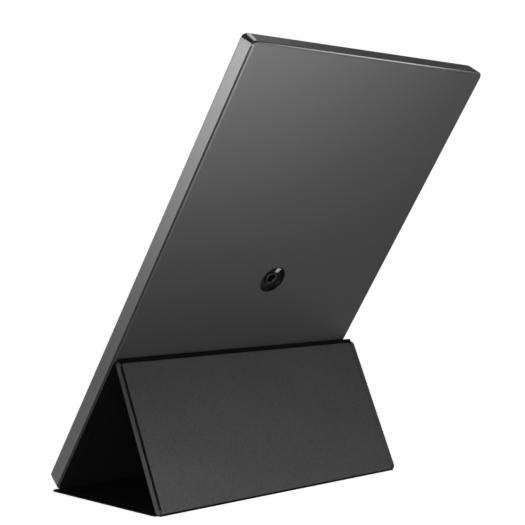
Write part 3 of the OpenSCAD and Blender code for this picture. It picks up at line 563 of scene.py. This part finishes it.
TAB_TURN, TAB_T = math.radians(102), 0.5
TAB_ENDS = ((5.6, 1.3, 1.6), (9.8, 0.5, 2.3))  # radius, depth and half width at each end
tab = []
for r, z, half in TAB_ENDS:
    sides = [(r * math.cos(TAB_TURN) - w * math.sin(TAB_TURN),
              SOCKET_Y + r * math.sin(TAB_TURN) + w * math.cos(TAB_TURN))
             for w in (-half, half)]
    tab.append([sides[0] + (z,), sides[1] + (z,),
                sides[1] + (z + TAB_T,), sides[0] + (z + TAB_T,)])
piece("socket_tab", loft(tab, caps=(True, True)), BODY, "insert_steel", "monitor",
      look="polished_steel")

# ---- cover panels ----

HALF, HALF_T = COVER_W / 2, PANEL_T / 2
PAD = MARGIN + GROOVE  # inset of the raised face
LIP_W, FLAT_STEPS = 0.25, 6
ROLL = 2.4  # length of the rolled end at the leg's foot
SHORT = 0.4  # how far the dark strips of painted shade stop short of the raised face's ends
# Profiles of one half of a panel from its edge to its face: (inset, height), row by row.
# They have as many rows as each other, so that sides and ends meet at the corners
LIP = [(0, 0), (0, 0.35), (0.08, 0.52), (LIP_W, SKIN)]
SHOULDER = [(0, 0.7), (0.08, 1.0), (0.3, 1.2), (0.8, 1.29), (1.7, HALF_T), (9, HALF_T),
            (25, HALF_T)]
GROOVED = (LIP + [(MARGIN - 0.4, SKIN), (MARGIN - 0.08, 0.5), (MARGIN, 0.2),
                  (MARGIN + 0.2, 0.1), (PAD - 0.3, 0.1), (PAD - 0.1, 0.25)]
           + [(PAD + a, z) for a, z in SHOULDER])
PLAIN = (LIP + [(MARGIN + GROOVE * k / FLAT_STEPS, SKIN) for k in range(FLAT_STEPS)]
         + [(PAD + a, z) for a, z in SHOULDER])
# Section of the dark strip of painted shade in a groove and up the raised face's wall:
# (outwards, height)
SHADE_SECTION = [(1.25, 0), (1.2, 0.14), (0.2, 0.15), (0.03, 0.7), (-0.06, 1.03), (-0.3, 1.0),
         (-0.3, 0)]


def stepped(edge, start):
    """End of a panel that starts at edge and whose raised face starts at start."""
    run = start - edge - LIP_W - 0.1
    flat = [(LIP_W + run * (k + 1) / FLAT_STEPS, SKIN) for k in range(FLAT_STEPS)]
    return [(edge + a, z) for a, z in LIP + flat] + [(start + a, z) for a, z in SHOULDER]


def rounded(start):
    """End of a panel whose face rolls over along a quarter ellipse down to its middle plane."""
    face = SHOULDER[4:]
    steps = len(PLAIN) - len(face) - 1
    arc = [math.radians(90 * k / steps) for k in range(steps + 1)]
    return ([(start - ROLL * math.cos(a), HALF_T * math.sin(a)) for a in arc]
            + [(start + a, z) for a, z in face])


def panel_shape(length, side, near, far):
    """One half of a panel from the profiles of its long sides and of its two ends."""
    rings = [ring(-HALF + dx, HALF - dx, dn, length - df, PANEL_R if dx < PAD else PAD_R, z,
                  8, z_near, z_far)
             for (dx, z), (dn, z_near), (df, z_far) in zip(side, near, far)]
    return loft(rings, caps=(True, True))


def groove_shade_shape(length, near, far):
    """Near-black strips of painted shade, laid in the groove along each of a panel's two sides.
    """
    verts, faces = [], []
    for side in (-1, 1):
        shape = loft([[(side * (HALF - PAD + x), y, z) for x, z in SHADE_SECTION]
                      for y in (near, length - far)], caps=(True, True))
        faces += [tuple(i + len(verts) for i in face) for face in shape[1]]
        verts += shape[0]
    return verts, faces


FLIP = Matrix.Diagonal((1, 1, -1, 1))
free_end = stepped(0, FREE)
for name, matrix, length, body, outer_end, inner_end in (
        ("attach", ATTACH, ATTACH_LEN, "monitor", free_end, free_end),
        ("rear", REAR, REAR_LEN, "rear_leg", rounded(OUTER_START),
         stepped(FOLD_GAP, INNER_START)),
        ("floor", FLOOR, FLOOR_LEN, "floor_panel", free_end, free_end)):
    outer = panel_shape(length, GROOVED, stepped(FOLD_GAP, OUTER_START), outer_end)
    painted_strips = groove_shade_shape(length, OUTER_START + SHORT, FREE + SHORT)
    inner = panel_shape(length, PLAIN, stepped(FOLD_GAP, INNER_START), inner_end)
    piece(name + "_panel_skin", outer, matrix, "cover_skin", body, [name + "_skin"], sharp=60)
    # Near-black strips laid in the grooves: painted shade
    piece(name + "_panel_groove_shade", painted_strips, matrix, "cover_skin", body, sharp=60,
          look="cover_painted_shade")
    piece(name + "_panel_lining", inner, matrix @ FLIP, "cover_lining", body,
          [name + "_lining"], sharp=60)

# ---- folds ----

FOLD_R = 0.7  # outer radius of a fold's strip about its axis
BEND_STEPS, COLUMNS = 14, 28
# How far the strip's inner side stays from the corner of its two arms, and its crease's depth
CORNER_KEEP, CREASE = 0.5, 0.72


def fold_shape(opening, reach, half_t):
    """Bent strip across a fold, in the frame of its first panel: y away from the fold on that
    panel, z outwards. opening is the angle between the two panels, on the lining's side; the
    strip lies along each panel for reach and is half_t thick to each side."""
    turn = math.radians(180 - opening)
    other = Vector((-math.cos(turn), -math.sin(turn)))
    out = Vector((-math.sin(turn), math.cos(turn)))
    arc = [math.pi / 2 + turn * k / BEND_STEPS for k in range(BEND_STEPS + 1)]
    inner = half_t / math.tan(math.radians(opening / 2)) + CORNER_KEEP
    crease = (Vector((1, 0)) + other).normalized() * (
        CREASE * half_t / math.sin(math.radians(opening / 2)))
    section = ([(reach, half_t)] + [(FOLD_R * math.cos(a), FOLD_R * math.sin(a)) for a in arc]
               + [tuple(other * reach + out * half_t), tuple(other * reach - out * half_t),
                  tuple(other * inner - out * half_t), tuple(crease), (inner, -half_t),
                  (reach, -half_t)])
    width = HALF - PANEL_R
    return bar(section, [-width + 2 * width * k / COLUMNS for k in range(COLUMNS + 1)])


# The folds' strips take the near-black leatherette: painted shade in the crevices at the folds.
top = piece("top_fold_skin", fold_shape(REAR_TILT + LEAN, 2.9, 0.63), REAR, "cover_skin", None,
            ["top_fold"], sharp=50, look="cover_painted_shade")
foot_frame = REAR @ Matrix.Translation((0, REAR_LEN, 0)) @ Matrix.Diagonal((1, -1, 1, 1))
foot = piece("foot_fold_skin", fold_shape(90 - REAR_TILT, 2.3, 0.55), foot_frame,
             "cover_skin", None, ["foot_fold"], sharp=50, look="cover_painted_shade")
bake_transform(top)
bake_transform(foot)

# ---- stage ----

GROUND_SIZE, GROUND_Z = 12.0, -0.0002
WORLD_LEVEL, FLOOR_TONE = 0.08, 0.85
# The floor's own light, as the eye sees it: less near the object, where its shadow shows
GLOW_START, GLOW_END = 0.25, 0.55
GLOW_NEAR, GLOW_FAR = 0.9, 1 - FLOOR_TONE * WORLD_LEVEL
# The white backdrop fades to the ceiling between these heights of a ray's direction
FADE_START, FADE_END = 0.25, 0.5


def shown_to_eye(nodes, links):
    """1 for camera, glossy and transmission rays, so that mirrors show the same backdrop."""
    rays = nodes.new("ShaderNodeLightPath").outputs
    total = combine(nodes, links, "ADD", rays["Is Camera Ray"], rays["Is Glossy Ray"])
    return combine(nodes, links, "ADD", total, rays["Is Transmission Ray"], use_clamp=True)


def smooth_step(nodes, links, source, start, end, low, high):
    """Output that goes softly from low to high while the source goes from start to end."""
    made = node(nodes, "ShaderNodeMapRange", interpolation_type="SMOOTHSTEP")
    for key, value in zip(("From Min", "From Max", "To Min", "To Max"), (start, end, low, high)):
        made.inputs[key].default_value = value
    links.new(source, made.inputs["Value"])
    return made.outputs["Result"]


bpy.ops.mesh.primitive_plane_add(size=GROUND_SIZE, location=(0, 0, GROUND_Z))
ground = bpy.context.active_object
ground.name = "ground"
material, nodes, links, shader = tree("ground")
shader.inputs["Base Color"].default_value = grey(FLOOR_TONE)
shader.inputs["Roughness"].default_value = 0.9
shader.inputs["Specular IOR Level"].default_value = 0.1
place = nodes.new("ShaderNodeTexCoord")
away = node(nodes, "ShaderNodeVectorMath", operation="LENGTH")
links.new(place.outputs["Object"], away.inputs[0])
glow = smooth_step(nodes, links, away.outputs["Value"], GLOW_START, GLOW_END,
                   GLOW_NEAR, GLOW_FAR)
strength = combine(nodes, links, "MULTIPLY", shown_to_eye(nodes, links), glow)
links.new(strength, shader.inputs["Emission Strength"])
shader.inputs["Emission Color"].default_value = grey(1.0)
ground.data.materials.append(material)

# White around the horizon, as the floor's backdrop, under a darker ceiling
world = bpy.data.worlds.new("world")
world.use_nodes = True
bpy.context.scene.world = world
nodes, links = world.node_tree.nodes, world.node_tree.links
place = nodes.new("ShaderNodeTexCoord")
height = nodes.new("ShaderNodeSeparateXYZ")
links.new(place.outputs["Generated"], height.inputs["Vector"])
backdrop = smooth_step(nodes, links, height.outputs["Z"], FADE_START, FADE_END,
                       1.0, WORLD_LEVEL)
shown = nodes.new("ShaderNodeMapRange")
shown.inputs["To Min"].default_value = WORLD_LEVEL
links.new(shown_to_eye(nodes, links), shown.inputs["Value"])
links.new(backdrop, shown.inputs["To Max"])
links.new(shown.outputs["Result"], nodes["Background"].inputs["Strength"])
nodes["Background"].inputs["Color"].default_value = grey(1.0)

# ---- lights ----


def around(azimuth, distance, height):
    """Place seen from above: azimuth 0 in front of the screen, 90 on the +X side."""
    a = math.radians(azimuth)
    return distance * math.sin(a), -distance * math.cos(a), height


# The two low lamps aim over the top, so that the back darkens towards the fold
OVER_TOP, LEG_FOOT, FOOT_FOLD = (0.02, 0.05, 0.45), (0, 0.02, 0), (0, 0.017, 0)
TOP_EDGE, TOP_CORNER = (0, 0.1, 0.3), (0.114, 0.1, 0.3)
# Name: place, target, width and height in metres, watts, spread in degrees
SOFTBOXES = {
    "low_back": (around(140, 0.6, 0.10), OVER_TOP, (0.2, 0.2), 0.81, 45),
    "low_side": (around(110, 0.8, 0.12), OVER_TOP, (0.25, 0.25), 1.33, 45),
    "low_foot": (around(140, 0.7, 0.06), LEG_FOOT, (0.4, 0.08), 0.43, 60),
    "desk_foot": (around(140, 0.4, 0.02), FOOT_FOLD, (0.35, 0.02), 0.06, 30),
    "edge": (around(231, 1.3, 0.80), TOP_EDGE, (0.8, 0.12), 0.45, 60),
    "corner": ((-0.04, 0.006, 0.6), TOP_CORNER, (0.15, 0.25), 0.15, 180),
}
for name, (place, target, size, power, spread_angle) in SOFTBOXES.items():
    data = bpy.data.lights.new(name, "AREA")
    data.shape, data.size, data.size_y, data.energy = "RECTANGLE", size[0], size[1], power
    data.spread = math.radians(spread_angle)
    obj = bpy.data.objects.new(name, data)
    bpy.context.scene.collection.objects.link(obj)
    obj.location = place
    obj.rotation_mode = "QUATERNION"
    obj.rotation_quaternion = (Vector(target) - Vector(place)).to_track_quat("-Z", "Y")
    obj.visible_camera = False
